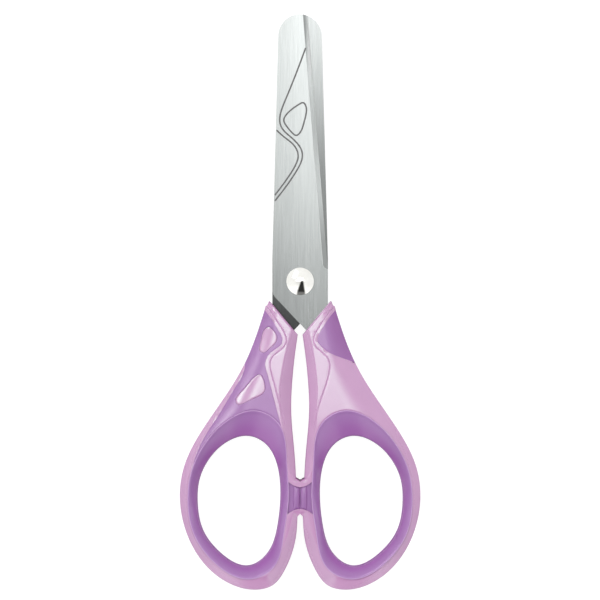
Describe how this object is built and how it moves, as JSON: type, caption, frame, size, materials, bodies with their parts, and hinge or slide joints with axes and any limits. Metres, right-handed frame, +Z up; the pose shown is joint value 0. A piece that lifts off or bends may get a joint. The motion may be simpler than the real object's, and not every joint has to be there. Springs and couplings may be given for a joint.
{
  "type": "school scissors",
  "caption": "Blunt-tipped craft scissors with riveted steel blades and two-tone moulded handles whose soft-lined finger rings open about one pivot.",
  "frame": {"origin": "under the middle of the outline of the closed scissors, on the flat surface they lie on", "axes": "+Y towards the blade tips, +Z up from the front face, +X towards the right handle; the closed scissors lie on their rear face"},
  "size_m": [0.0544, 0.13, 0.0084],
  "materials": {
    "blade_steel": "satin, ground lengthways",
    "rivet_metal": "polished nickel plate",
    "pink_plastic": "moulded, semi-gloss",
    "purple_rubber": "soft-touch overmould, satin"
  },
  "bodies": {
    "rear_half": {"rear_blade": "blade_steel", "left_handle_frame": "pink_plastic", "left_grip_sleeve": "purple_rubber", "left_ring_liner": "purple_rubber", "left_stop_pad": "purple_rubber", "pivot_rivet": "rivet_metal", "pivot_rivet_socket": "rivet_metal"},
    "front_half": {"front_blade": "blade_steel", "right_handle_frame": "pink_plastic", "right_grip_sleeve": "purple_rubber", "right_ring_liner": "purple_rubber", "right_stop_pad": "purple_rubber"}
  },
  "joints": [
    {"name": "pivot", "type": "hinge", "parent": "rear_half", "child": "front_half", "pos_m": [0, 0.0046, 0.0042], "axis": [0, 0, 1], "range_deg": [0, 70]}
  ]
}
